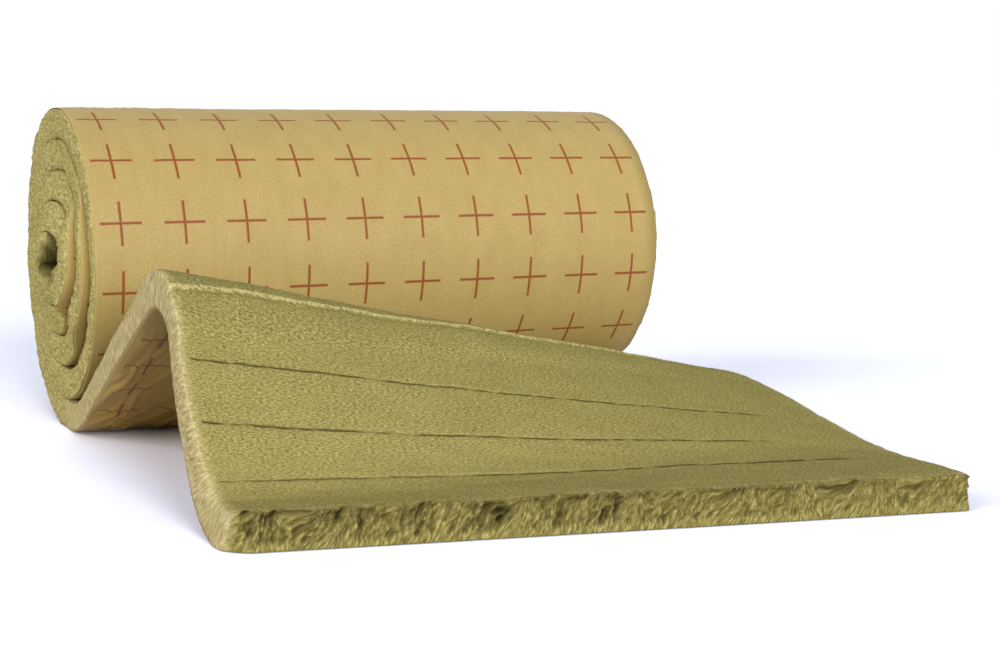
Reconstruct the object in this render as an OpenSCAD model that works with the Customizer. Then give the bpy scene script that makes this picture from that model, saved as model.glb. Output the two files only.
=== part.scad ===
/* [Mat] */
// Width of the mat, along the roll's axis
mat_w = 1000; // [600:10:1200]
// Thickness of the wool
mat_t = 50; // [30:1:60]
// Thickness of the kraft paper on the outer side of the wool
facing_t = 0.4; // [0.2:0.1:1]

/* [Roll] */
// Height of the roll above the floor
roll_h = 540; // [440:1:640]
// Depth of the roll from front to back
roll_d = 530; // [440:1:640]
// Slack between one turn and the next
turn_gap = 1; // [0.5:0.1:4]
// Least clear width of the hollow at the heart of the roll
core_d = 20; // [20:1:120]
// How far the heart of the roll stands out at the left end
end_dish = 20; // [0:1:60]
// How far the back of the outermost turn stands out beyond its front at the left end
end_skew = 26; // [0:1:50]

/* [Free end] */
// Length of mat that has come off the roll, measured along the paper
free_l = 1130; // [1110:5:1500]
// Least gap between the roll and the free end that rises beside it
valley_gap = 11; // [8:1:25]
// How far the free end drifts to the right on its way to the front
free_drift = 14; // [0:1:60]
// How much narrower the mat is cut at its front edge
front_trim = 35; // [0:1:60]

/* [Hump at the left edge] */
// Height of the paper above the floor at the crest
left_crest_h = 266; // [230:1:270]
// Slope of the side that faces the roll, in degrees
left_rise = 27; // [26:0.5:32]
// Slope of the side that faces the front, in degrees
left_fall = 65; // [60:1:76]
// Radius of the bend where the paper leaves the floor
left_foot_r = 320; // [280:5:340]
// Radius of the paper over the crest
left_crest_r = 75; // [55:1:100]
// Radius of the bend where the paper comes back to the floor
left_toe_r = 130; // [90:1:160]

/* [Hump at the right edge] */
// Height of the paper above the floor at the crest
right_crest_h = 58; // [40:1:90]
// Slope of the side that faces the roll, in degrees
right_rise = 7.5; // [6:0.5:12]
// Slope of the side that faces the front, in degrees
right_fall = 10.5; // [8:0.5:14]
// Radius of the bend where the paper leaves the floor
right_foot_r = 300; // [200:5:340]
// Radius of the paper over the crest
right_crest_r = 300; // [150:5:350]
// Radius of the bend where the paper comes back to the floor
right_toe_r = 500; // [300:5:600]

/* [Hidden] */
// Mat and paper together, and the distance from one turn to the next
sheet_t = facing_t + mat_t;
pitch = sheet_t + turn_gap;

// The roll is a row of half turns. Those at the back share one centre and those at the front
// another, half a pitch higher, and each is half a pitch smaller than the one outside it.
// A roll that is deeper than high has a flat stretch at its top and bottom, and a roll that is
// higher than deep has an upright one at its front and back.
round_d = min(roll_h, roll_d + pitch / 2);
flat_y = roll_d + pitch / 2 - round_d;
flat_z = roll_h - round_d;
back_r = round_d / 2;
front_r = back_r - pitch / 2;
front_cz = back_r + pitch / 2;
half_turns = 1 + floor((back_r - sheet_t - core_d / 2) / (pitch / 2));

// Angles at the bottom of the outermost turn, and from there inwards those over which the skew
// fades and the inner turns come to stand out
first_turn = 360;
skew_fade = 180;
dish_turn = 630;

// Points along each stretch of the route
half_turn_steps = 20;
bend_steps = 10;
crest_steps = 16;
straight_steps = 16;

// The bends of each edge of the hump, from the roll to the front
left_edge = [left_crest_h, left_rise, left_fall, left_foot_r, left_crest_r, left_toe_r];
right_edge = [right_crest_h, right_rise, right_fall, right_foot_r, right_crest_r, right_toe_r];

// A place on the route is [y, z, turn]: a point on the outer side of the paper, and the angle
// that the sheet has turned through there, 0 where it lies flat on the floor.
function inward(turn) = [-sin(turn), cos(turn)];
function half_turn(turn) = min(floor(turn / 180), half_turns - 1);
function half_turn_r(k) = back_r - k * pitch / 2;
function half_turn_cz(k) = flat_z / 2 + (k % 2 == 0 ? back_r : front_cz);
function roll_place(turn) =
    let (k = half_turn(turn), r = half_turn_r(k), n = inward(turn))
    [-r * n[0] - flat_y / 2 * sign(n[0]), half_turn_cz(k) - r * n[1] - flat_z / 2 * sign(n[1]), turn];

// A bend from one slope to another, with a positive radius where it turns up
function bend(p, r, from, to, steps) =
    [for (i = [1 : steps]) let (a = from + (to - from) * i / steps)
        [p[0] - r * (sin(a) - sin(from)), p[1] - r * (cos(a) - cos(from)), -a]];
function straight(p, slope, l, steps) =
    [for (i = [1 : steps]) let (s = l * i / steps)
        [p[0] - s * cos(slope), p[1] + s * sin(slope), -slope]];

// The flat stretch under the roll is as long as the rising side needs to pass the roll clear
function foot_l(e) =
    flat_y / 2 + (front_r + valley_gap - (front_cz - e[3]) * cos(e[1]) - e[3] + sheet_t) / sin(e[1]);
function rise_l(e) = (e[0] - (e[3] + e[4]) * (1 - cos(e[1]))) / sin(e[1]);
function fall_l(e) = (e[0] - (e[4] + e[5]) * (1 - cos(e[2]))) / sin(e[2]);
function bends_l(e) = PI / 180 * (e[3] * e[1] + e[4] * (e[1] + e[2]) + e[5] * e[2]);
function toe_l(e) = free_l - foot_l(e) - rise_l(e) - fall_l(e) - bends_l(e);

function last(list) = list[len(list) - 1];
function free_end(e) =
    let (foot = straight([0, 0], 0, foot_l(e), 1),
         foot_bend = bend(last(foot), e[3], 0, e[1], bend_steps),
         rise = straight(last(foot_bend), e[1], rise_l(e), straight_steps),
         crest = bend(last(rise), -e[4], e[1], -e[2], crest_steps),
         fall = straight(last(crest), -e[2], fall_l(e), straight_steps),
         toe_bend = bend(last(fall), e[5], -e[2], 0, bend_steps),
         toe = straight(last(toe_bend), 0, toe_l(e), 1))
    concat(foot, foot_bend, rise, crest, fall, toe_bend, toe);

// The origin is on the floor, half way along the flat stretch at the left edge
roll_y = foot_l(left_edge) / 2;

// Both edges take the same steps, from the heart of the roll to the front
roll_steps = half_turns * half_turn_steps;
roll_route = [for (i = [0 : roll_steps]) roll_place(180 / half_turn_steps * (roll_steps - i))];
left_free = free_end(left_edge);
right_free = free_end(right_edge);
left_route = concat(roll_route, left_free);
right_route = concat(roll_route, right_free);
places = len(left_route);

// Sideways place of the middle of the mat: the outermost turn is skewed, the others stand out
function inner_share(turn, over) = min(1, max(0, turn - first_turn) / over);
function skew(place) = end_skew * place[0] / roll_h * (1 - inner_share(place[2], skew_fade));
function dish(place) = end_dish * (1 - cos(180 * inner_share(place[2], dish_turn))) / 2;
function roll_x(place) = -skew(place) - dish(place);
function free_part(i) = max(0, (i - roll_steps) / (places - 1 - roll_steps));
function mid_x(i) = i <= roll_steps ? roll_x(roll_route[i]) : free_drift * free_part(i);

// A point of an edge, at a depth below the outer side of the paper
function deep(place, d) = [place[0], place[1]] + d * inward(place[2]);
function width(i) = mat_w - front_trim * pow(free_part(i), 2);
function span_x(i, d) =
    let (step = deep(right_route[i], d) - deep(left_route[i], d))
    sqrt(pow(width(i), 2) - step * step);
function edge_point(i, side, d) =
    let (p = deep(side < 0 ? left_route[i] : right_route[i], d))
    [mid_x(i) + side * span_x(i, d) / 2, roll_y + p[0], p[1]];

// A strip of the sheet between two depths, over the whole route and the whole width
module strip(d0, d1) {
    points = [for (i = [0 : places - 1])
        each [edge_point(i, -1, d0), edge_point(i, 1, d0), edge_point(i, 1, d1), edge_point(i, -1, d1)]];
    end = 4 * (places - 1);
    // Both faces are split along the same diagonals, so that the strip keeps its thickness
    sides = [for (i = [0 : places - 2], c = [0 : 3])
        let (a = 4 * i + c, b = 4 * i + (c + 1) % 4)
        each c == 2 ? [[a, b, a + 4], [b, b + 4, a + 4]] : [[a, b, b + 4], [a, b + 4, a + 4]]];
    caps = [[0, 3, 2], [0, 2, 1], [end, end + 1, end + 2], [end, end + 2, end + 3]];
    polyhedron(points, concat(sides, caps), convexity = 20);
}

module wool_mat() {
    color("#8a8163") strip(facing_t, sheet_t);
}

module kraft_facing() {
    color("#c7a57c") strip(0, facing_t);
}

wool_mat();
kraft_facing();
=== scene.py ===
import math
from types import SimpleNamespace

import bpy
import numpy as np
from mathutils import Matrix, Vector, noise


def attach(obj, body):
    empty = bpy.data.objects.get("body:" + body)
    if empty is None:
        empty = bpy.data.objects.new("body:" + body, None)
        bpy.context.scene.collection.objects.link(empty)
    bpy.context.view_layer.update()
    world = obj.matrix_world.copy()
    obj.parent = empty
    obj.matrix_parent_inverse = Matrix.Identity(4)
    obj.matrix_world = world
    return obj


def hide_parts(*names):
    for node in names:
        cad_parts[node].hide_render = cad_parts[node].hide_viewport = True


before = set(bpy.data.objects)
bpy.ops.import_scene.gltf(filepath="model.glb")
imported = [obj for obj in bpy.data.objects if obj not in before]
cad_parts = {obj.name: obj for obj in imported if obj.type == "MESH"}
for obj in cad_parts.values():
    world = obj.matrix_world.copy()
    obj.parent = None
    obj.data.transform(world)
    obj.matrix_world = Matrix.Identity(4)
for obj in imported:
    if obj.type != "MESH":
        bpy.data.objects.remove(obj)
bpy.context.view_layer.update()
print("frame loaded:", sorted(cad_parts))

# How the mat lies, in metres and degrees
lie = {
    "width": 1.000,             # across the mat, along the roll's axis
    "wool": 0.050,              # thickness of the wool
    "paper": 0.0004,            # thickness of the kraft paper
    "turnSlack": 0.001,         # between one turn and the next
    "rollHeight": 0.540,
    "rollDepth": 0.530,
    "halfTurns": 9,
    # slack at the lower front of the inner turns: angle along the roll, shift inwards, squeeze of the wool
    "slack": ((680, 0.022, 0.06), (1040, 0.029, 0.22), (1400, 0.018, 0.14)),
    "slackSpread": 30,
    "endSkew": 0.026,           # the roll's back stands out to the left beyond its front
    "endStand": 0.012,          # each inner turn stands out this much further, at its lower front
    "standTurns": 2,            # up to this many turns in
    "standFrom": (222, 262),    # degrees around the roll
    "standTo": (312, 337),
    "standFades": (1080, 1400),
    "endDome": 0.026,           # the heart of the roll stands out too, in a soft dome
    "domeRadius": 0.170,
    "freeLength": 1.130,        # off the roll, along the paper
    "valleyGap": 0.011,         # between the roll and the free end beside it
    "freeDrift": 0.014,         # sideways, on the way to the front
    "frontTrim": 0.035,         # the mat is cut narrower at the front
    "spare": 0.040,             # spare route past the front edge, for the torn fibres
}
humpLeft = {
    "crest": 0.266, "rise": 27, "fall": 65,
    "footRadius": 0.320, "crestRadius": 0.075, "toeRadius": 0.130,
}
humpRight = {
    "crest": 0.058, "rise": 7.5, "fall": 10.5,
    "footRadius": 0.300, "crestRadius": 0.300, "toeRadius": 0.500,
}

# How finely the route is cut: steps along each stretch, and places in each step
routeSteps = {"halfTurn": 20, "flat": 1, "foot": 10, "slope": 16, "crest": 16, "toe": 10}
routeFine = 6
settlePasses = 8                # passes that find a point's place on the slanting route

matHalf = lie["width"] / 2
sheetThick = lie["paper"] + lie["wool"]
pitch = sheetThick + lie["turnSlack"]
backRadius = lie["rollHeight"] / 2
frontRadius = backRadius - pitch / 2
frontCentre = backRadius + pitch / 2
flatTop = lie["rollDepth"] + pitch / 2 - lie["rollHeight"]


def softStep(values, low, high):
    t = np.clip((values - low) / (high - low), 0, 1)
    return t * t * (3 - 2 * t)


def bell(values, middle, spread):
    return np.exp(-((values - middle) / spread) ** 2)


def shareAcross(x):
    # 0 at the left edge of the mat and 1 at the right
    return x / lie["width"] + 0.5


def inward(turn):
    angle = np.radians(turn)
    return np.stack([-np.sin(angle), np.cos(angle)], -1)


# A route is rows of y, z and turn: the outer side of the paper from the heart of the roll outwards
def rollRoute():
    places = lie["halfTurns"] * routeSteps["halfTurn"] * routeFine
    turn = np.linspace(180 * lie["halfTurns"], 0, places + 1)
    half = np.minimum(turn // 180, lie["halfTurns"] - 1)
    radius = backRadius - half * pitch / 2
    centre = np.where(half % 2 == 0, backRadius, frontCentre)
    way = inward(turn)
    side = np.sign(way[:, 0].round(9))    # rounded, so that top and bottom are neither front nor back
    y = -radius * way[:, 0] - flatTop / 2 * side
    z = centre - radius * way[:, 1]
    shift = sum(size * bell(turn, at, lie["slackSpread"]) for at, size, squeeze in lie["slack"])
    return np.column_stack([y + shift * way[:, 0], z + shift * way[:, 1], turn])


def bend(start, radius, slopeFrom, slopeTo, steps):
    slope = np.radians(np.linspace(slopeFrom, slopeTo, steps * routeFine + 1)[1:])
    first = math.radians(slopeFrom)
    y = start[0] - radius * (np.sin(slope) - math.sin(first))
    z = start[1] - radius * (np.cos(slope) - math.cos(first))
    return np.column_stack([y, z, -np.degrees(slope)])


def straight(start, slope, length, steps):
    s = np.linspace(0, length, steps * routeFine + 1)[1:]
    angle = math.radians(slope)
    y = start[0] - s * math.cos(angle)
    z = start[1] + s * math.sin(angle)
    return np.column_stack([y, z, np.full(len(s), -slope)])


def humpLengths(hump):
    # straight lengths of the foot, the rise, the fall and the toe
    rise, fall = math.radians(hump["rise"]), math.radians(hump["fall"])
    foot, crest, toe = hump["footRadius"], hump["crestRadius"], hump["toeRadius"]
    clear = frontRadius + lie["valleyGap"] + sheetThick
    footLength = flatTop / 2 + (clear - (frontCentre - foot) * math.cos(rise) - foot) / math.sin(rise)
    riseLength = (hump["crest"] - (foot + crest) * (1 - math.cos(rise))) / math.sin(rise)
    fallLength = (hump["crest"] - (crest + toe) * (1 - math.cos(fall))) / math.sin(fall)
    bends = foot * rise + crest * (rise + fall) + toe * fall
    toeLength = lie["freeLength"] - footLength - riseLength - fallLength - bends
    return footLength, riseLength, fallLength, toeLength


def freeRoute(hump):
    foot, rise, fall, toe = humpLengths(hump)
    steps = routeSteps
    rows = [np.zeros((1, 3))]
    rows.append(straight(rows[-1][-1], 0, foot, steps["flat"]))
    rows.append(bend(rows[-1][-1], hump["footRadius"], 0, hump["rise"], steps["foot"]))
    rows.append(straight(rows[-1][-1], hump["rise"], rise, steps["slope"]))
    rows.append(bend(rows[-1][-1], -hump["crestRadius"], hump["rise"], -hump["fall"], steps["crest"]))
    rows.append(straight(rows[-1][-1], -hump["fall"], fall, steps["slope"]))
    rows.append(bend(rows[-1][-1], hump["toeRadius"], -hump["fall"], 0, steps["toe"]))
    rows.append(straight(rows[-1][-1], 0, toe, steps["flat"]))
    rows.append(straight(rows[-1][-1], 0, lie["spare"], steps["flat"]))
    return np.concatenate(rows[1:])


def arcLength(way, zeroAt):
    steps = np.linalg.norm(np.diff(way[:, :2], axis=0), axis=1)
    arc = np.concatenate([[0], np.cumsum(steps)])
    return arc - arc[zeroAt]


rolled = rollRoute()
leaves = len(rolled) - 1        # place where the mat leaves the roll
leftWay = np.concatenate([rolled, freeRoute(humpLeft)])
rightWay = np.concatenate([rolled, freeRoute(humpRight)])
leftArc = arcLength(leftWay, leaves)
rightArc = arcLength(rightWay, leaves)
midArc = (leftArc + rightArc) / 2
arcLean = rightArc - leftArc
heartArc = midArc[0]
frontArc = lie["freeLength"]
rollY = humpLengths(humpLeft)[0] / 2

# Sideways place, width and squeeze of the mat along the route
places = np.arange(len(leftWay))
frontPlace = len(leftWay) - 1 - routeSteps["flat"] * routeFine
freeShare = np.clip((places - leaves) / (frontPlace - leaves), 0, 1)
turns = leftWay[:, 2]
around = turns % 360
outerTurn = np.interp(-360, -turns[:leaves + 1], midArc[:leaves + 1])   # where the outer turn begins
skew = lie["endSkew"] / 2 * np.sin(np.radians(turns))
stand = lie["endStand"] * np.minimum(turns // 360, lie["standTurns"])
stand *= softStep(around, *lie["standFrom"]) * (1 - softStep(around, *lie["standTo"]))
stand *= 1 - softStep(turns, *lie["standFades"])
middleX = np.where(places <= leaves, -skew - stand, lie["freeDrift"] * freeShare)
widths = lie["width"] - lie["frontTrim"] * freeShare ** 2
thin = 1 - sum(squeeze * bell(turns, at, lie["slackSpread"]) for at, shift, squeeze in lie["slack"])
print("route: %.2f m rolled up, %.2f m free" % (-heartArc, frontArc))


def turnAt(s):
    return np.interp(s, midArc[:leaves + 1], turns[:leaves + 1])


# Lays points of the flat mat along the route: x across, s along the paper, d into the mat from the paper
def lay(flat):
    x, s, d = np.asarray(flat).T
    share = shareAcross(x)
    mid = s.copy()
    for again in range(settlePasses):
        mid = s - (share - 0.5) * np.interp(mid, midArc, arcLean)

    def along(values):
        return np.interp(mid, midArc, values)

    deep = d * along(thin)
    ends = []
    for way in (leftWay, rightWay):
        turnIn = inward(along(way[:, 2]))
        ends.append(np.column_stack([along(way[:, 0]), along(way[:, 1])]) + deep[:, None] * turnIn)
    step = ends[1] - ends[0]
    span = np.sqrt(along(widths) ** 2 - (step ** 2).sum(1))
    yz = ends[0] + share[:, None] * step
    fromAxis = np.hypot(yz[:, 0], yz[:, 1] - (backRadius + frontCentre) / 2)
    dome = lie["endDome"] * (1 - softStep(fromAxis, 0, lie["domeRadius"])) * (s < 0)
    return np.column_stack([along(middleX) - dome + (share - 0.5) * span, rollY + yz[:, 0], yz[:, 1]])


# Modelling helpers
def deselectAll():
    if bpy.context.object and bpy.context.object.mode != "OBJECT":
        bpy.ops.object.mode_set(mode="OBJECT")
    bpy.ops.object.select_all(action="DESELECT")


def selectOnly(piece):
    deselectAll()
    piece.select_set(True)
    bpy.context.view_layer.objects.active = piece


def readPoints(piece):
    points = np.zeros(len(piece.data.vertices) * 3)
    piece.data.vertices.foreach_get("co", points)
    return points.reshape(-1, 3)


def writePoints(piece, points):
    piece.data.vertices.foreach_set("co", np.ascontiguousarray(points, dtype=np.float32).ravel())
    piece.data.update()


def keepValues(piece, marks):
    # what the materials read from the mesh: a number or a vector at each point
    for name, values in marks.items():
        kind, field = ("FLOAT_VECTOR", "vector") if values.ndim == 2 else ("FLOAT", "value")
        attribute = piece.data.attributes.new(name, kind, "POINT")
        attribute.data.foreach_set(field, values.astype(np.float32).ravel())


def subdividePicked(piece, elements, kind, picked, cuts):
    bpy.ops.object.mode_set(mode="EDIT")
    bpy.ops.mesh.select_mode(type=kind)
    bpy.ops.mesh.select_all(action="DESELECT")
    bpy.ops.object.mode_set(mode="OBJECT")
    elements.foreach_set("select", picked)
    bpy.ops.object.mode_set(mode="EDIT")
    bpy.ops.mesh.subdivide(number_cuts=cuts)
    bpy.ops.object.mode_set(mode="OBJECT")


def cutEdgesAlong(piece, axis, pieces):
    # every edge that runs along the axis is cut into that many pieces
    ends = np.zeros(len(piece.data.edges) * 2, dtype=int)
    piece.data.edges.foreach_get("vertices", ends)
    points = readPoints(piece)
    reach = np.abs(points[ends[0::2]] - points[ends[1::2]])
    subdividePicked(piece, piece.data.edges, "EDGE", reach.argmax(1) == axis, pieces - 1)


def cutFinerFrom(piece, low, cuts):
    # faces past a place along the mat are cut finer
    points = readPoints(piece)
    picked = [all(points[v][1] > low for v in face.vertices) for face in piece.data.polygons]
    subdividePicked(piece, piece.data.polygons, "FACE", picked, cuts)


def flatBlock(name, low, high, cuts):
    # a cube at the flat mat's size and place, cut into columns, rows and layers
    deselectAll()
    size = np.subtract(high, low)
    bpy.ops.mesh.primitive_cube_add(size=1, location=np.add(low, high) / 2, scale=size)
    bpy.ops.object.transform_apply(location=True, rotation=True, scale=True)
    block = bpy.context.object
    block.name = name
    for axis, counts in enumerate(cuts):
        for count in counts:
            cutEdgesAlong(block, axis, count)
    return block


def respace(values, places):
    # evenly cut rows move to the given places
    low, high = values.min(), values.max()
    row = np.rint((values - low) / (high - low) * (len(places) - 1)).astype(int)
    return np.asarray(places)[row]


def fillBetween(fixed, count):
    # even places between the fixed ones, the widest gaps first, up to the count
    fixed = np.unique(np.round(fixed, 6))
    parts = np.ones(len(fixed) - 1, dtype=int)
    while parts.sum() < count - 1:
        parts[np.argmax(np.diff(fixed) / parts)] += 1
    stretches = [np.linspace(a, b, n + 1)[:-1] for a, b, n in zip(fixed, fixed[1:], parts)]
    return np.concatenate(stretches + [fixed[-1:]])


def noiseAt(points, grain, seed):
    # smooth noise from -1 to 1, with a grain of the given sizes in metres along x, s and d
    return np.array([noise.noise(Vector(p)) for p in np.asarray(points) / np.asarray(grain) + seed])


def relief(points, waves, further=0):
    # sum of waves, each with its height, its grain and its seed
    return sum(height * noiseAt(points, grain, seed + further) for height, grain, seed in waves)


def creases(points, folds):
    # sum of narrow ridges, each with its height, its grain, its seed and its sharpness
    return sum(height * np.clip(1 - sharp * np.abs(noiseAt(points, grain, seed)), 0, 1)
               for height, grain, seed, sharp in folds)


# The wool of the free end: a flat block, roughened, grooved and torn, then laid along the route.
# Relief is a row of waves: height, grain along x, s and d, seed
woolFree = {
    # how the block is cut
    "columns": (16, 8),
    "rows": (16, 11),
    "layers": 10,
    "clearOfPaper": 0.0006,
    "edgeColumns": (0.0, 0.0012, 0.003, 0.006, 0.010, 0.015, 0.021),
    "fineFrom": 0.030,                  # finer from here to the front edge
    "fineCuts": 2,
    "leanFrom": 0.40,                   # rows lean along the grooves from here to near the front edge
    "leanTo": 0.06,
    # soft swell of the top
    "topFrom": (0.85, 1.0),             # share of the thickness that counts as the top
    "swell": (
        (0.0026, (0.16, 0.10, 1), 1.7),
        (0.0012, (0.05, 0.025, 1), 5.3),
        (0.0007, (0.014, 0.010, 1), 8.8)),
    "sink": 0.001,
    "crestAt": 0.68,                    # the wool fluffs up over the crest at the left
    "crestSpread": 0.09,
    "crestPuff": 0.005,
    "crestFades": (-0.46, -0.10),
    # grooves pressed in when the mat was wound: place along the paper at the left edge, then how it
    # drifts and curves with the share of the width, half width, start from the left edge, last share
    "grooves": (
        (0.815, -0.090, 0.070, 0.0018, 0.007, 0.94),
        (0.899, -0.030, 0.022, 0.0018, 0.008, 0.90),
        (0.997, -0.030, 0.030, 0.0028, 0.010, 0.99)),
    "grooveRows": (-0.007, -0.0028, -0.0012, 0.0, 0.0012, 0.0028, 0.007),
    "grooveDepth": 0.0045,
    "grooveSteep": 1.4,
    "grooveSpread": 1.3,                # how much wider they are at the right, and how much shallower
    "grooveShallow": 0.85,
    "shallowFrom": (-0.35, 0.20),
    "grooveStarts": 0.008,
    "grooveEnds": 0.10,
    "grooveWander": ((0.0022, (0.10, 1, 1), 3.1), (0.0013, (0.016, 1, 1), 9.7)),
    "wanderReach": 0.024,
    "wanderSeedStep": 7,
    "grooveBreaks": ((1.0, (0.018, 1, 1), 21.3),),
    "breakFrom": (-0.35, 0.1),
    "breakLeaves": 0.45,
    "breakSeedStep": 5,
    # ragged fold over the crest
    "fold": (0.741, -0.181, 0.0),       # placed as a groove is
    "foldRows": (-0.012, -0.006, -0.0035, -0.0018, -0.0006, 0.0006, 0.0018, 0.004, 0.010),
    "foldWander": ((0.0026, (0.011, 1, 1), 15.5), (0.0022, (0.06, 1, 1), 4.5)),
    "foldFades": (0.72, 0.95),
    "foldStep": 0.0026,                 # the wool behind the fold stands that much higher
    "foldEdge": (-0.001, 0.0015),
    "foldBehind": (-0.07, -0.003),
    "lip": (-0.0026, 0.0032, 0.0010),   # place past the fold, spread, height
    "lipFray": ((0.0018, (0.013, 1, 1), 51.0),),
    "crevice": (0.0018, 0.0018, 0.0014),    # place past the fold, spread, depth
    # the crevice under the lip is painted dark too, as its shadow
    "creviceShadow": 0.55,
    # cut sides
    "sideDepth": 0.0035,                # fibres stand out unevenly within this depth
    "sideStand": 0.001,
    "sideFibres": ((0.0009, (1, 0.010, 0.030), 2.9), (0.0006, (1, 0.0045, 0.02), 8.1)),
    "leftRound": 0.010,
    "rightRound": 0.006,
    "rightShare": 0.6,
    "roundDrop": 0.0035,
    "cutLean": 0.012,                   # the left edge is cut on the slant towards the front
    "cutLeanAlong": (0.78, 1.05),
    "edgeWear": 0.003,
    "wearFrom": (0.45, 1.0),
    "slantReach": 0.06,
    "brushReach": 0.005,                # pale brushed fibres beside the cut
    "brushShare": 0.60,
    "brushed": ((0.9, (0.006, 0.009, 1), 23.0),),
    # front corner at the left
    "cornerRadius": 0.030,
    "cornerSquash": 0.97,
    "cornerReach": 0.10,
    "cornerFace": (0.70, 1.0),
    # the corner's hollows get less painted shade
    "cornerLessShade": 0.6,
    # torn front; the hollows between its strands are painted darker, as their shade
    "frontRows": (0.034, 0.028, 0.022, 0.016, 0.011, 0.0065, 0.003, 0.0),
    "frontDepth": 0.010,                # torn off from here on, in slanting strands
    "tearDepth": 0.014,
    "tearStand": 0.30,                  # strands stand out by this share of the depth
    "tearCalm": 0.4,                    # less deep towards the right
    "calmFrom": 0.15,
    "strandLean": 0.45,
    "leanVaries": ((0.9, (0.06, 1, 1), 31.0),),
    "ridges": ((1.0, (0.011, 1, 0.026), 4.4), (0.8, (0.0055, 1, 0.011), 6.2)),
    "clumps": ((0.34, (0.045, 1, 0.04), 0.9),),
    "hollow": 0.62,
    "ridgeFill": 0.42,
    "hollowUp": (0.22, 0.45, 0.95),     # hollower upwards: how much, between these shares of the depth
    "solidLow": (0.45, 0.30),           # fuller low down: how much, below this share
    "deepest": 1.4,
    "foot": (0.8, 0.24),                # nearly whole at the foot: how much less hollow, below this share
    "overhang": (0.65, 0.82, 1.0),      # the top edge hangs over: how much less hollow, between these
    "ragged": ((1.0, (0.016, 0.02, 1), 12.5), (0.6, (0.007, 0.012, 1), 14.5)),
    "raggedDepth": 0.020,
    "raggedDrop": (0.001, 0.0034),      # of the top edge, plain and ragged
    "hollowPaintedShade": (0.90, 0.80),         # painted shade in the hollows: in the middle, and how much less from left to right
}


def linePlace(line, x):
    # where a line across the mat lies along the paper
    share = shareAcross(x)
    return line[0] + line[1] * share + line[2] * share ** 2


def followLines(x, s, lines):
    # rows lean so that they run along the lines
    middles = [linePlace(line, 0) for line in lines]
    marks = [woolFree["leanFrom"]] + middles + [frontArc - woolFree["leanTo"]]
    moved = s.copy()
    for n, line in enumerate(lines):
        near = np.interp(s, marks[n:n + 3], (0, 1, 0))
        moved += near * (linePlace(line, x) - marks[n + 1])
    return moved


def cutFreeBlock(low, high):
    sizes = woolFree
    block = flatBlock("wool_free_end", low, high, (sizes["columns"], sizes["rows"], (sizes["layers"],)))
    lines = (sizes["fold"],) + sizes["grooves"]
    fixedRows = [0, frontArc] + [frontArc - r for r in sizes["frontRows"]]
    fixedRows += [linePlace(line, 0) + r for line in sizes["grooves"] for r in sizes["grooveRows"]]
    fixedRows += [linePlace(sizes["fold"], 0) + r for r in sizes["foldRows"]]
    edges = np.array(sizes["edgeColumns"])
    fixedColumns = np.concatenate([-matHalf + edges, matHalf - edges])
    flat = readPoints(block)
    flat[:, 0] = respace(flat[:, 0], fillBetween(fixedColumns, math.prod(sizes["columns"]) + 1))
    flat[:, 1] = respace(flat[:, 1], fillBetween(fixedRows, math.prod(sizes["rows"]) + 1))
    writePoints(block, flat)
    cutFinerFrom(block, frontArc - sizes["fineFrom"], sizes["fineCuts"])
    flat = readPoints(block)
    flat[:, 1] = followLines(flat[:, 0], flat[:, 1], lines)
    return block, flat


def pressGrooves(flat, mat):
    sizes = woolFree
    # the groove mask is painted dark by the material, as shade in the grooves
    grooveShade = np.zeros(len(flat))
    shallow = 1 - sizes["grooveShallow"] * softStep(mat.x, *sizes["shallowFrom"])
    for n, line in enumerate(sizes["grooves"]):
        halfWidth, start, end = line[3:]
        fromLine = mat.s - linePlace(line, mat.x)
        wander = relief(mat.across, sizes["grooveWander"], sizes["wanderSeedStep"] * n)
        near = np.clip(1 - np.abs(fromLine) / sizes["wanderReach"], 0, 1)
        breaks = relief(mat.across, sizes["grooveBreaks"], sizes["breakSeedStep"] * n)
        least = sizes["breakLeaves"]
        whole = least + (1 - least) * softStep(breaks, *sizes["breakFrom"])
        runs = softStep(mat.x + matHalf, start, start + sizes["grooveStarts"])
        runs *= 1 - softStep(mat.share, end - sizes["grooveEnds"], end)
        wide = halfWidth * (1 + sizes["grooveSpread"] * mat.share)
        cleft = np.clip(sizes["grooveSteep"] * (1 - np.abs(fromLine) / wide), 0, 1) * whole * runs
        grooveShade = np.maximum(grooveShade, cleft * mat.top)
        flat[:, 1] += wander * near * mat.top
        flat[:, 2] -= sizes["grooveDepth"] * cleft * mat.top * shallow
    return grooveShade


def swellTop(flat, mat):
    sizes = woolFree
    crest = bell(mat.s, sizes["crestAt"], sizes["crestSpread"])
    crest *= 1 - softStep(mat.x, *sizes["crestFades"])
    swell = relief(mat.surface, sizes["swell"]) + sizes["crestPuff"] * crest - sizes["sink"]
    flat[:, 2] += swell * mat.deep


def raiseFold(flat, mat):
    # the wool behind the fold stands a little higher and ends in a ragged pale lip
    sizes = woolFree
    past = mat.s - linePlace(sizes["fold"], mat.x) + relief(mat.across, sizes["foldWander"])
    shows = mat.top * (1 - softStep(mat.share, *sizes["foldFades"]))
    behind = (1 - softStep(past, *sizes["foldEdge"])) * softStep(past, *sizes["foldBehind"])
    lipAt, lipSpread, lipHeight = sizes["lip"]
    creviceAt, creviceSpread, creviceDepth = sizes["crevice"]
    lip = bell(past, lipAt, lipSpread + relief(mat.across, sizes["lipFray"])) * shows
    crevice = bell(past, creviceAt, creviceSpread) * shows
    flat[:, 2] += sizes["foldStep"] * behind * shows + lipHeight * lip - creviceDepth * crevice
    return lip, crevice


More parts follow.
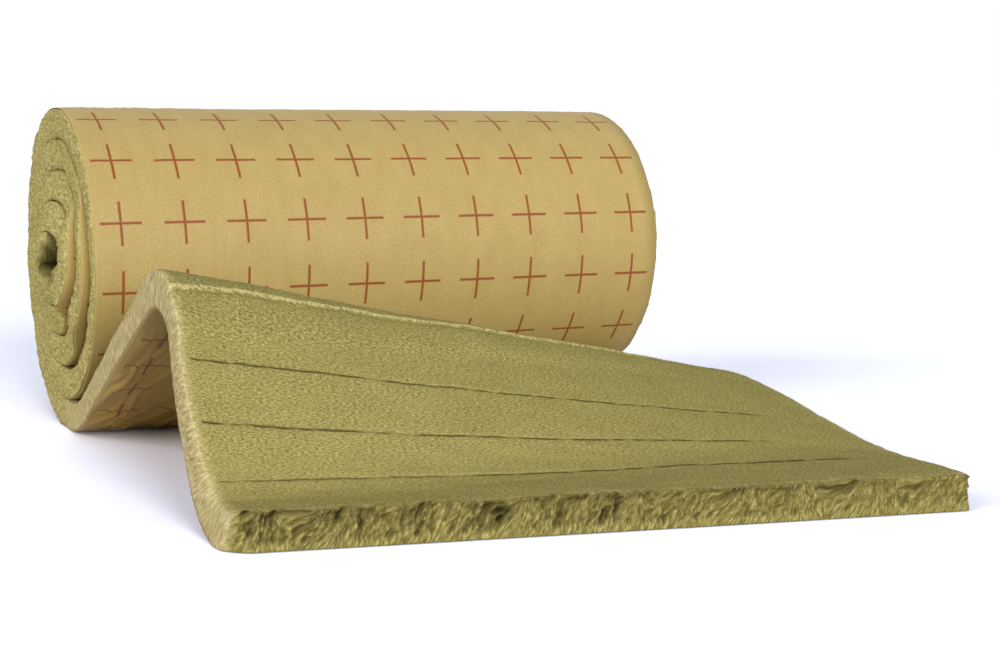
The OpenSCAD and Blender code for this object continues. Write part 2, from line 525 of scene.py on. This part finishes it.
def wearSides(flat, mat):
    # fibres stand out unevenly, the corners are worn round, the left edge is cut on the slant
    sizes = woolFree
    side = softStep(np.abs(mat.x), matHalf - sizes["sideDepth"], matHalf)
    fibres = relief(np.column_stack([np.sign(mat.x), mat.s, mat.d]), sizes["sideFibres"])
    flat[:, 0] += np.sign(mat.x) * side * (fibres + sizes["sideStand"])
    rounded = softStep(-mat.x, matHalf - sizes["leftRound"], matHalf)
    rounded += sizes["rightShare"] * softStep(mat.x, matHalf - sizes["rightRound"], matHalf)
    flat[:, 2] -= sizes["roundDrop"] * rounded ** 2 * mat.top
    slant = sizes["cutLean"] * mat.deep * softStep(mat.s, *sizes["cutLeanAlong"])
    slant += sizes["edgeWear"] * softStep(mat.deep, *sizes["wearFrom"]) ** 2
    flat[:, 0] += slant * softStep(-mat.x, matHalf - sizes["slantReach"], matHalf)
    brushed = sizes["brushShare"] + relief(mat.surface, sizes["brushed"])
    brushed *= np.exp((np.abs(mat.x) - matHalf) / sizes["brushReach"])
    return np.clip(np.maximum(side, brushed), 0, 1)


def tearFront(flat, mat):
    # torn off in slanting strands, deep between them
    sizes = woolFree
    front = softStep(mat.s, frontArc - sizes["frontDepth"], frontArc)
    lean = sizes["strandLean"] + relief(mat.across, sizes["leanVaries"])
    strand = np.column_stack([mat.x - lean * mat.d, np.zeros(len(flat)), mat.d])
    ridges = sum(height * (1 - 2 * np.abs(noiseAt(strand, grain, seed)))
                 for height, grain, seed in sizes["ridges"])
    hollow = sizes["hollow"] - sizes["ridgeFill"] * ridges - relief(strand, sizes["clumps"])
    upMore, upFrom, upTo = sizes["hollowUp"]
    lowLess, lowTo = sizes["solidLow"]
    footLess, footTo = sizes["foot"]
    overLess, overFrom, overTo = sizes["overhang"]
    hollow += upMore * softStep(mat.deep, upFrom, upTo) - lowLess * softStep(lowTo - mat.deep, 0, lowTo)
    hollow = np.clip(hollow, 0, sizes["deepest"]) * (1 - footLess * softStep(footTo - mat.deep, 0, footTo))
    overhang = 1 - overLess * softStep(mat.deep, overFrom, overTo)
    tear = sizes["tearDepth"] * (1 - sizes["tearCalm"] * softStep(mat.x, sizes["calmFrom"], matHalf))
    flat[:, 1] += front * tear * (sizes["tearStand"] - hollow * overhang)
    plainDrop, raggedDrop = sizes["raggedDrop"]
    drop = plainDrop + raggedDrop * relief(mat.surface, sizes["ragged"])
    flat[:, 2] -= softStep(mat.s, frontArc - sizes["raggedDepth"], frontArc) * mat.deep * drop
    return front, hollow, strand


def roundFrontCorner(flat, x, s):
    # the front corner at the left is rounded off, in wool and paper alike
    radius = woolFree["cornerRadius"]
    intoCorner = np.clip((-matHalf + radius - x) / radius, 0, 1)
    cut = radius * (1 - np.sqrt(1 - woolFree["cornerSquash"] * intoCorner ** 2))
    flat[:, 1] -= cut * softStep(s, frontArc - woolFree["cornerReach"], frontArc)
    return intoCorner


def makeWoolFree():
    sizes = woolFree
    low = (-matHalf, 0, lie["paper"] + sizes["clearOfPaper"])
    high = (matHalf, frontArc, sheetThick)
    block, flat = cutFreeBlock(low, high)
    x, s, d = flat.T.copy()
    none = np.zeros(len(flat))
    mat = SimpleNamespace(x=x, s=s, d=d, share=shareAcross(x), deep=(d - low[2]) / (high[2] - low[2]))
    mat.top = softStep(mat.deep, *sizes["topFrom"])
    mat.across = np.column_stack([x, none, none])
    mat.surface = np.column_stack([x, s, none])
    grooveShade = pressGrooves(flat, mat)
    swellTop(flat, mat)
    lip, crevice = raiseFold(flat, mat)
    cutEdge = wearSides(flat, mat)
    front, hollow, strand = tearFront(flat, mat)
    atCorner = softStep(roundFrontCorner(flat, x, s), *sizes["cornerFace"])
    # painted shade: the hollows between torn strands are coloured darker, less towards the right and at
    # the corner
    paintedShade, less = sizes["hollowPaintedShade"]
    paintedShade = (paintedShade - less * x / lie["width"]) * (1 - sizes["cornerLessShade"] * atCorner)
    keepValues(block, {
        "flat": np.column_stack([x, s, d]),
        "strand": strand,
        "cutEdge": cutEdge,
        "torn": front * (1 - atCorner),
        "hollow": front * hollow * paintedShade,
        # painted shade in the grooves and painted shadow in the crevice under the fold's lip
        "grooveShade": np.maximum(grooveShade, sizes["creviceShadow"] * crevice),
        "fold": lip,
        "endFace": none})
    writePoints(block, lay(flat))
    return block


# The wool of the roll: only its ends and its heart show
woolRoll = {
    "columns": 18,
    "rows": (9, 52),
    "layers": 12,
    "endColumns": (0.0, 0.001, 0.003, 0.006, 0.010, 0.016, 0.026, 0.050, 0.110),   # in from each end
    "endDepth": 0.0045,
    "endFibres": (
        (0.0024, (1, 0.012, 0.040), 2.9),
        (0.0013, (1, 0.0045, 0.02), 8.1),
        (0.0040, (1, 0.09, 0.05), 17.0)),
    "endOut": 0.002,
    "edgeWear": 0.005,        # the inner edge of each turn is worn round
    "wearPower": 5,
    "grownTogether": 1240,    # from about this turn inwards the turns are pressed into one another
    "growsOver": (-120, 60),
    "innerWearLess": 0.8,
    "cutPaleness": 0.42,
    "endGrain": 0.75,
    "heartShadeReach": (0.010, 0.055),      # the heart is sunk in and drawn as torn fibres, painted dark as shade in its bore, within this distance
    "heartRagged": ((0.018, (0.02, 0.04, 0.014), 6.6),),
    "heartPaintedShade": 0.75,
    "heartDeep": 0.006,
}


def makeWoolRoll():
    sizes = woolRoll
    low = (-matHalf, heartArc, lie["paper"] + woolFree["clearOfPaper"])
    high = (matHalf, 0, sheetThick)
    block = flatBlock("wool_roll", low, high, ((sizes["columns"],), sizes["rows"], (sizes["layers"],)))
    flat = readPoints(block)
    ends = np.array(sizes["endColumns"])
    flat[:, 0] = respace(flat[:, 0], np.concatenate([-matHalf + ends, [0], (matHalf - ends)[::-1]]))
    x, s, d = flat.T.copy()
    deep = (d - low[2]) / (high[2] - low[2])
    side = softStep(np.abs(x), matHalf - sizes["endDepth"], matHalf)
    fibres = relief(np.column_stack([np.sign(x), s, d]), sizes["endFibres"])
    growsFrom, growsTo = np.add(sizes["grownTogether"], sizes["growsOver"])
    inner = softStep(turnAt(s), growsFrom, growsTo)
    worn = sizes["edgeWear"] * np.abs(2 * deep - 1) ** sizes["wearPower"] * (deep > 0.5)
    worn *= 1 - sizes["innerWearLess"] * inner
    flat[:, 0] += np.sign(x) * side * (fibres - worn + sizes["endOut"])
    flat[:, 2] += inner * lie["turnSlack"] * deep
    laid = lay(flat)
    heart = lay([(-matHalf, heartArc, sheetThick)])[0]
    fromHeart = np.hypot(laid[:, 1] - heart[1], laid[:, 2] - heart[2])
    fromHeart += relief(laid, sizes["heartRagged"])
    # near the heart the wool is sunk in and painted dark, as shade in the bore
    spot = 1 - softStep(fromHeart, *sizes["heartShadeReach"])
    laid[:, 0] -= np.sign(x) * sizes["heartDeep"] * side * spot
    none = np.zeros(len(flat))
    keepValues(block, {
        "flat": np.column_stack([x, s, d]),
        "strand": np.column_stack([x, s, d]),
        "cutEdge": side * sizes["cutPaleness"],
        "torn": spot,
        "hollow": sizes["heartPaintedShade"] * spot,
        "grooveShade": none,
        "fold": none,
        "endFace": side * sizes["endGrain"]})
    writePoints(block, laid)
    return block


# The kraft paper: a flat grid, wrinkled, laid along the route and given its thickness.
# Folds are rows of height, grain along x, s and d, seed and sharpness
kraft = {
    # how the grid is cut
    "columns": 116,
    "leftColumns": 88,        # closer columns in the left part, where the loose paper shows
    "leftPart": 0.32,
    "innerRows": 184,
    "outerRows": 80,
    "looseRows": 105,         # closer rows where the paper is loose under the hump
    "loosePart": (0.05, 0.66),
    "endRows": 28,
    # edges
    "setBack": 0.012,         # the torn wool stands out past the paper at the front
    "innerSetBack": 0.009,    # and at the ends of the inner turns
    "innerSetFrom": 0.05,
    "hiddenOver": 120,        # degrees of turn over which the inner edges draw back
    # loose paper under the hump: sharp folds up the slope, leaning to the right
    "wrinkle": 0.0080,
    "looseFrom": (0.03, 0.16),
    "looseTo": (0.50, 0.66),
    "looseLess": (0.7, -0.20, 0.35),      # calmer to the right: how much, between these places
    "looseEdge": 0.012,
    "foldBend": ((0.020, (0.14, 0.12, 1), 40.2),),
    "foldLean": (-0.44, 0.24),            # how far they lean, and how that curves
    "foldAlong": (0.4, 0.9),              # how their grain runs on along them
    "folds": (
        (0.6, (0.060, 0.34, 1), 3.3, 3.4),
        (0.8, (0.050, 0.26, 1), 13.3, 8.0),
        (0.5, (0.030, 0.15, 1), 7.9, 6.0)),
    "foldPlain": 0.7,
    "foldVaries": ((0.8, (0.09, 0.13, 1), 27.0),),
    # outer turn: long shallow waves, a few creases near the left end
    "outerFrom": 0.2,
    "outerTo": (-0.2, -0.02),
    "outerStand": 0.0008,
    "waves": ((0.0008, (0.11, 0.35, 1), 1.1), (0.0007, (0.03, 0.16, 1), 4.7)),
    "endCreases": ((0.0010, (0.05, 0.5, 1), 11.2, 5),),
    "creasesFade": (-0.42, -0.18),
    # printed grid
    "crossAcross": 0.1008,    # from cross to cross
    "crossAlong": 0.110,
    "gridX": 0.003,
    "gridS": 0.037,
    "armAcross": 0.065,
    "armAlong": 0.071,
    "lineWidth": 0.0043,
    "inkEdge": 0.0008,
    "inkRough": 0.0012,
    "inkCover": 0.88,
}


def wrinklePaper(flat, x, s):
    sizes = kraft
    none = np.zeros(len(flat))
    place = np.column_stack([x, s, none])
    bent = x + relief(place, sizes["foldBend"])
    lean, curve = sizes["foldLean"]
    acrossShare, alongShare = sizes["foldAlong"]
    slope = np.column_stack([bent + lean * s + curve * s ** 2, acrossShare * bent + alongShare * s, none])
    folds = creases(slope, sizes["folds"]) * (sizes["foldPlain"] + relief(place, sizes["foldVaries"]))
    less, lessFrom, lessTo = sizes["looseLess"]
    loose = softStep(s, *sizes["looseFrom"]) * (1 - softStep(s, *sizes["looseTo"]))
    loose *= 1 - less * softStep(x, lessFrom, lessTo)
    loose *= softStep(matHalf - np.abs(x), 0, sizes["looseEdge"])
    outer = softStep(s, outerTurn, outerTurn + sizes["outerFrom"]) * (1 - softStep(s, *sizes["outerTo"]))
    endCreases = creases(slope, sizes["endCreases"]) * (1 - softStep(x, *sizes["creasesFade"]))
    flat[:, 2] = lie["paper"] - sizes["wrinkle"] * loose * folds
    flat[:, 2] -= outer * (relief(place, sizes["waves"]) + sizes["outerStand"] + endCreases)
    return loose


def makePaper():
    sizes = kraft
    looseFrom, looseTo = sizes["loosePart"]
    marks = (heartArc, outerTurn, looseFrom, looseTo, frontArc - sizes["setBack"])
    counts = [sizes[name] for name in ("innerRows", "outerRows", "looseRows", "endRows")]
    rows = [np.linspace(a, b, n + 1)[:-1] for a, b, n in zip(marks, marks[1:], counts)]
    leftEnd = -matHalf + sizes["leftPart"]
    columns = np.concatenate([
        np.linspace(-matHalf, leftEnd, sizes["leftColumns"] + 1)[:-1],
        np.linspace(leftEnd, matHalf, sizes["columns"] - sizes["leftColumns"] + 1)])
    deselectAll()
    bpy.ops.mesh.primitive_grid_add(x_subdivisions=sizes["columns"], y_subdivisions=sum(counts), size=1)
    paper = bpy.context.object
    paper.name = "kraft_paper"
    flat = readPoints(paper)
    flat[:, 0] = respace(flat[:, 0], columns)
    flat[:, 1] = respace(flat[:, 1], np.concatenate(rows + [marks[-1:]]))
    x, s, d = flat.T.copy()
    loose = wrinklePaper(flat, x, s)
    roundFrontCorner(flat, x, s)
    # the inner turns' edges lie hidden in the wool
    together = woolRoll["grownTogether"]
    hidden = softStep(turnAt(s), together - sizes["hiddenOver"], together) * (s < 0)
    hidden *= softStep(np.abs(x), matHalf - sizes["innerSetFrom"], matHalf)
    flat[:, 0] -= np.sign(x) * sizes["innerSetBack"] * hidden
    keepValues(paper, {"flat": np.column_stack([x, s, d]), "loose": loose})
    writePoints(paper, lay(flat))
    selectOnly(paper)
    thick = paper.modifiers.new("paper thickness", "SOLIDIFY")
    thick.thickness = lie["paper"]
    thick.offset = 1.0
    bpy.ops.object.modifier_apply(modifier=thick.name)
    return paper


# Materials
mmPerMetre = 1000


def colour(code):
    parts = [int(code[i:i + 2], 16) / 255 for i in (1, 3, 5)]
    return [p / 12.92 if p <= 0.04045 else ((p + 0.055) / 1.055) ** 2.4 for p in parts] + [1.0]


def newMaterial(name):
    material = bpy.data.materials.new(name)
    material.use_nodes = True
    tree = material.node_tree
    return material, tree, tree.nodes["Principled BSDF"]


def addNode(tree, kind, settings=None, inputs=None, output=0, stops=()):
    # a node with its settings, its links or constants, and a ramp's stops; gives one of its outputs.
    # A colour Mix takes its share at 0 and its colours at 6 and 7, and gives them mixed at 2
    node = tree.nodes.new("ShaderNode" + kind)
    for key, value in (settings or {}).items():
        setattr(node, key, value)
    for key, value in (inputs or {}).items():
        if hasattr(value, "is_output"):
            tree.links.new(value, node.inputs[key])
        else:
            node.inputs[key].default_value = value
    for n, (place, code) in enumerate(stops):
        steps = node.color_ramp.elements
        step = steps[n] if n < len(steps) else steps.new(place)
        step.position = place
        step.color = colour(code)
    return node.outputs[output]


# Stone wool, spun fibres bound into a soft mat: matt and grainy, with fibres lying across the mat, paler
# where it was cut, and painted dark between torn strands and in its grooves, as their shade. Single fibres
# are far too fine to show, so each grain is drawn as coarse as a tuft of them
woolLook = {
    "grains": {      # place that it follows, stretch along that place's axes, size in mm, detail
        "matted": ("flat", (0.36, 1, 1), 1.8, 4),
        "blotches": ("flat", (0.35, 1, 1), 24, 4),
        "streaks": ("flat", (1, 1, 0.25), 4.2, 4),        # cut fibres stand across the thickness
        "tufts": ("strand", (1, 1, 0.30), 3.2, 5),        # torn fibres lean as the strands do
        "specks": ("object", (1, 0.30, 1), 4.2, 4),       # fibre ends on the roll's ends
    },
    "grainRoughness": 0.64,
    "stops": {
        "matted": ((0.36, "#6a622f"), (0.50, "#a2985a"), (0.64, "#d2c887")),
        "blotches": ((0.30, "#8d8347"), (0.50, "#a49a58"), (0.72, "#b5aa67")),
        "streaks": ((0.32, "#998b5a"), (0.49, "#c8b884"), (0.66, "#e5d7aa")),
        # the torn fibres' own colour, kept darker than the top, in part as painted shade of the rough torn
        # face
        "tufts": ((0.34, "#655d2d"), (0.52, "#988e53"), (0.66, "#cabe7a")),
        "specks": ((0.36, "#8d834a"), (0.50, "#beb36e"), (0.64, "#e2d695")),
    },
    "blotchShare": 0.25,
    # painted shade for the hollows between torn strands and for the sunk heart of the roll
    "hollow": "#383014",
    # the fold's pale lip, and the grooves painted dark as their shade, ragged as the fibres are:
    # raggedness, where each starts to show and shows fully, cover, colour
    "fold": (2.6, 0.50, 0.85, 0.72, "#e2d698"),
    "grooveShade": (1.7, 0.36, 0.72, 0.82, "#413a1a"),
    "leastMark": 0.02,
    "roughness": 0.95,
    "specular": 0.05,
    "bump": (0.62, 0.0022),      # strength, height
}


def woolMaterial():
    sizes = woolLook
    material, tree, surface = newMaterial("stone wool")
    axes = {"object": addNode(tree, "TexCoord", output="Object")}
    for name in ("flat", "strand"):
        axes[name] = addNode(tree, "Attribute", {"attribute_name": name}, output="Vector")
    marks = {}
    for name in ("cutEdge", "endFace", "torn", "hollow", "fold", "grooveShade"):
        marks[name] = addNode(tree, "Attribute", {"attribute_name": name}, output="Fac")
    grains, tints = {}, {}
    for name, (place, stretch, size, detail) in sizes["grains"].items():
        spot = addNode(tree, "Mapping", None, {"Vector": axes[place], "Scale": stretch})
        grains[name] = addNode(tree, "TexNoise", None, {
            "Vector": spot, "Scale": mmPerMetre / size,
            "Detail": detail, "Roughness": sizes["grainRoughness"]})
        tints[name] = addNode(tree, "ValToRGB", None, {"Fac": grains[name]}, stops=sizes["stops"][name])
    # the hollows of the torn front and the heart of the roll get the dark hollow colour, as painted shade
    torn = addNode(tree, "Mix", {"data_type": "RGBA"}, {
        0: marks["hollow"], 6: tints["tufts"], 7: colour(sizes["hollow"])}, output=2)
    layers = [
        (sizes["blotchShare"], tints["blotches"]), (marks["cutEdge"], tints["streaks"]),
        (marks["endFace"], tints["specks"]), (marks["torn"], torn)]
    for name in ("fold", "grooveShade"):
        ragged, low, high, cover, code = sizes[name]
        offset = addNode(tree, "Math", {"operation": "MULTIPLY_ADD"}, {
            0: grains["matted"], 1: ragged, 2: -ragged / 2})
        reach = addNode(tree, "Math", {"operation": "ADD"}, {0: marks[name], 1: offset})
        shows = addNode(tree, "MapRange", None, {
            "Value": reach, "From Min": low, "From Max": high, "To Max": cover})
        there = addNode(tree, "Math", {"operation": "GREATER_THAN"}, {
            0: marks[name], 1: sizes["leastMark"]})
        share = addNode(tree, "Math", {"operation": "MULTIPLY"}, {0: shows, 1: there})
        layers.append((share, colour(code)))
    look = tints["matted"]
    for share, over in layers:
        look = addNode(tree, "Mix", {"data_type": "RGBA"}, {0: share, 6: look, 7: over}, output=2)
    height = grains["matted"]
    for mark, name in (("cutEdge", "streaks"), ("torn", "tufts")):
        height = addNode(tree, "Mix", {"data_type": "FLOAT"}, {0: marks[mark], 2: height, 3: grains[name]})
    strength, distance = sizes["bump"]
    bump = addNode(tree, "Bump", None, {"Strength": strength, "Distance": distance, "Height": height})
    tree.links.new(look, surface.inputs["Base Color"])
    tree.links.new(bump, surface.inputs["Normal"])
    surface.inputs["Roughness"].default_value = sizes["roughness"]
    surface.inputs["Specular IOR Level"].default_value = sizes["specular"]
    return material


# Kraft paper, unbleached and unglazed: a soft half-matt brown, cloudy, with short fibres in it, cockled
# by its glue, and a printed grid of crosses in brown-red ink. The fibres are drawn thicker than they
# are, so that they show
kraftLook = {
    "grains": {      # stretch along x, s and d, size in mm, detail
        "clouds": ((1, 0.4, 1), 30, 4),
        "fibres": ((1, 0.5, 1), 2.2, 3),
        "inkRough": ((1, 1, 1), 4, 2),
        "cockle": ((1, 0.35, 1), 12, 4),
    },
    "grainRoughness": 0.6,
    "clouds": ((0.30, "#b49b5e"), (0.55, "#bea668"), (0.75, "#c6ae71")),
    "fibres": ((0.25, "#a1884f"), (0.50, "#bea668"), (0.75, "#d4be84")),
    "fibreShare": 0.5,
    "loose": "#d1ae5c",          # warmer where it is loose under the hump: painted warm light bounced between the folds
    "looseBounceShare": 0.7,
    "ink": "#8e3f1a",
    "roughness": 0.50,
    "specular": 0.14,
    "cockleShare": 0.8,
    "bump": (0.35, 0.0012),      # strength, height
}


def kraftMaterial():
    sizes = kraftLook
    material, tree, surface = newMaterial("kraft paper")
    flat = addNode(tree, "Attribute", {"attribute_name": "flat"}, output="Vector")
    loose = addNode(tree, "Attribute", {"attribute_name": "loose"}, output="Fac")
    grains = {}
    for name, (stretch, size, detail) in sizes["grains"].items():
        spot = addNode(tree, "Mapping", None, {"Vector": flat, "Scale": stretch})
        grains[name] = addNode(tree, "TexNoise", None, {
            "Vector": spot, "Scale": mmPerMetre / size,
            "Detail": detail, "Roughness": sizes["grainRoughness"]})
    clouds = addNode(tree, "ValToRGB", None, {"Fac": grains["clouds"]}, stops=sizes["clouds"])
    fibres = addNode(tree, "ValToRGB", None, {"Fac": grains["fibres"]}, stops=sizes["fibres"])
    # painted warm bounce light where the paper is loose under the hump
    paintedBounce = addNode(tree, "Math", {"operation": "MULTIPLY"}, {0: loose, 1: sizes["looseBounceShare"]})

    # distance of each point from the middle of its cross, along both axes, with a rough edge
    rough = addNode(tree, "Math", {"operation": "MULTIPLY_ADD"}, {
        0: grains["inkRough"], 1: kraft["inkRough"], 2: -kraft["inkRough"] / 2})
    axes = addNode(tree, "SeparateXYZ", None, {"Vector": flat}).node.outputs
    away = []
    for axis, shift, spacing in (("X", "gridX", "crossAcross"), ("Y", "gridS", "crossAlong")):
        moved = addNode(tree, "Math", {"operation": "ADD"}, {0: axes[axis], 1: kraft[shift]})
        cell = addNode(tree, "Math", {"operation": "WRAP"}, {0: moved, 1: kraft[spacing], 2: 0.0})
        fromMiddle = addNode(tree, "Math", {"operation": "SUBTRACT"}, {0: cell, 1: kraft[spacing] / 2})
        distance = addNode(tree, "Math", {"operation": "ABSOLUTE"}, {0: fromMiddle})
        away.append(addNode(tree, "Math", {"operation": "ADD"}, {0: distance, 1: rough}))
    arms = []
    for names in (("armAcross", "lineWidth"), ("lineWidth", "armAlong")):
        inside = []
        for distance, name in zip(away, names):
            inside.append(addNode(tree, "MapRange", None, {
                "Value": distance, "To Min": 1.0, "To Max": 0.0,
                "From Min": kraft[name] / 2 - kraft["inkEdge"],
                "From Max": kraft[name] / 2 + kraft["inkEdge"]}))
        arms.append(addNode(tree, "Math", {"operation": "MULTIPLY"}, {0: inside[0], 1: inside[1]}))
    cross = addNode(tree, "Math", {"operation": "MAXIMUM"}, {0: arms[0], 1: arms[1]})
    ink = addNode(tree, "Math", {"operation": "MULTIPLY"}, {0: cross, 1: kraft["inkCover"]})

    look = clouds
    for share, over in (
            (sizes["fibreShare"], fibres), (paintedBounce, colour(sizes["loose"])), (ink, colour(sizes["ink"]))):
        look = addNode(tree, "Mix", {"data_type": "RGBA"}, {0: share, 6: look, 7: over}, output=2)
    fine = addNode(tree, "Math", {"operation": "MULTIPLY"}, {
        0: grains["fibres"], 1: 1 - sizes["cockleShare"]})
    height = addNode(tree, "Math", {"operation": "MULTIPLY_ADD"}, {
        0: grains["cockle"], 1: sizes["cockleShare"], 2: fine})
    strength, distance = sizes["bump"]
    bump = addNode(tree, "Bump", None, {"Strength": strength, "Distance": distance, "Height": height})
    tree.links.new(look, surface.inputs["Base Color"])
    tree.links.new(bump, surface.inputs["Normal"])
    surface.inputs["Roughness"].default_value = sizes["roughness"]
    surface.inputs["Specular IOR Level"].default_value = sizes["specular"]
    return material


wool = woolMaterial()
paperLook = kraftMaterial()
for make, look, node, slot in (
        (makeWoolFree, wool, "wool_mat", "stone_wool"),
        (makeWoolRoll, wool, "wool_mat", "stone_wool"),
        (makePaper, paperLook, "kraft_facing", "kraft_paper")):
    piece = make()
    selectOnly(piece)
    bpy.ops.object.shade_smooth()
    piece.data.materials.clear()
    piece.data.materials.append(look)
    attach(piece, "root")
    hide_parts(node)
    print("made", piece.name, len(piece.data.polygons), "faces")


# Floor, light and camera
stage = {
    "floorSize": 60.0,
    "floorDrop": 0.0006,
    "floorSeen": 1.90,                    # the camera sees the floor brighter, as a white backdrop
    "floorTint": (0.89, 0.92, 1.08),      # so that shadows on it look cool
    "floorPlain": (0.47, 0.40, 0.28, 1),  # what other rays meet
    "worldLight": 0.29,
    # strength of each lamp, its angle, the way its light goes
    "lamps": {
        "key": (2.24, 22.0, (-0.03, 0.95, -0.27)),
        "fill": (1.65, 50.0, (0.93, 0.18, -0.30)),
    },
    "cameraPlace": (-0.9197, -2.6964, 0.4915),
    "cameraTurn": (82.87, 0, -24.55),     # degrees
    "lens": 56.27,
    "sensor": 36.0,
}


def seenRay(tree):
    # the camera, mirrors and glass see the pale background, and other rays its plain light
    seen = addNode(tree, "LightPath", output="Is Camera Ray")
    rays = seen.node.outputs
    for name in ("Is Glossy Ray", "Is Transmission Ray"):
        seen = addNode(tree, "Math", {"operation": "MAXIMUM"}, {0: seen, 1: rays[name]})
    return seen


def makeFloor():
    deselectAll()
    bpy.ops.mesh.primitive_plane_add(size=stage["floorSize"], location=(0, 0, -stage["floorDrop"]))
    floor = bpy.context.object
    floor.name = "floor"
    material, tree, surface = newMaterial("white studio floor")
    seen = [stage["floorSeen"] * part for part in stage["floorTint"]] + [1]
    look = addNode(tree, "Mix", {"data_type": "RGBA"}, {
        0: seenRay(tree), 6: stage["floorPlain"], 7: seen}, output=2)
    matt = addNode(tree, "BsdfDiffuse", None, {"Color": look})
    tree.links.new(matt, tree.nodes["Material Output"].inputs["Surface"])
    floor.data.materials.append(material)


def makeLight():
    world = bpy.data.worlds.new("studio")
    bpy.context.scene.world = world
    world.use_nodes = True
    tree = world.node_tree
    back = tree.nodes["Background"]
    back.inputs["Color"].default_value = (1, 1, 1, 1)
    strength = addNode(tree, "MapRange", None, {
        "Value": seenRay(tree), "To Min": stage["worldLight"], "To Max": 1.0})
    tree.links.new(strength, back.inputs["Strength"])
    for name, (energy, angle, way) in stage["lamps"].items():
        lamp = bpy.data.lights.new(name, "SUN")
        lamp.energy = energy
        lamp.angle = math.radians(angle)
        light = bpy.data.objects.new(name, lamp)
        bpy.context.scene.collection.objects.link(light)
        light.rotation_euler = Vector(way).to_track_quat("-Z", "Y").to_euler()


def makeCamera():
    data = bpy.data.cameras.new("photo view")
    data.sensor_width = stage["sensor"]
    data.lens = stage["lens"]
    camera = bpy.data.objects.new("photo view", data)
    camera.location = stage["cameraPlace"]
    camera.rotation_euler = [math.radians(angle) for angle in stage["cameraTurn"]]
    bpy.context.scene.collection.objects.link(camera)
    bpy.context.scene.camera = camera


makeFloor()
makeLight()
makeCamera()
bpy.context.scene.view_settings.view_transform = "Standard"
print("floor, light and camera set")
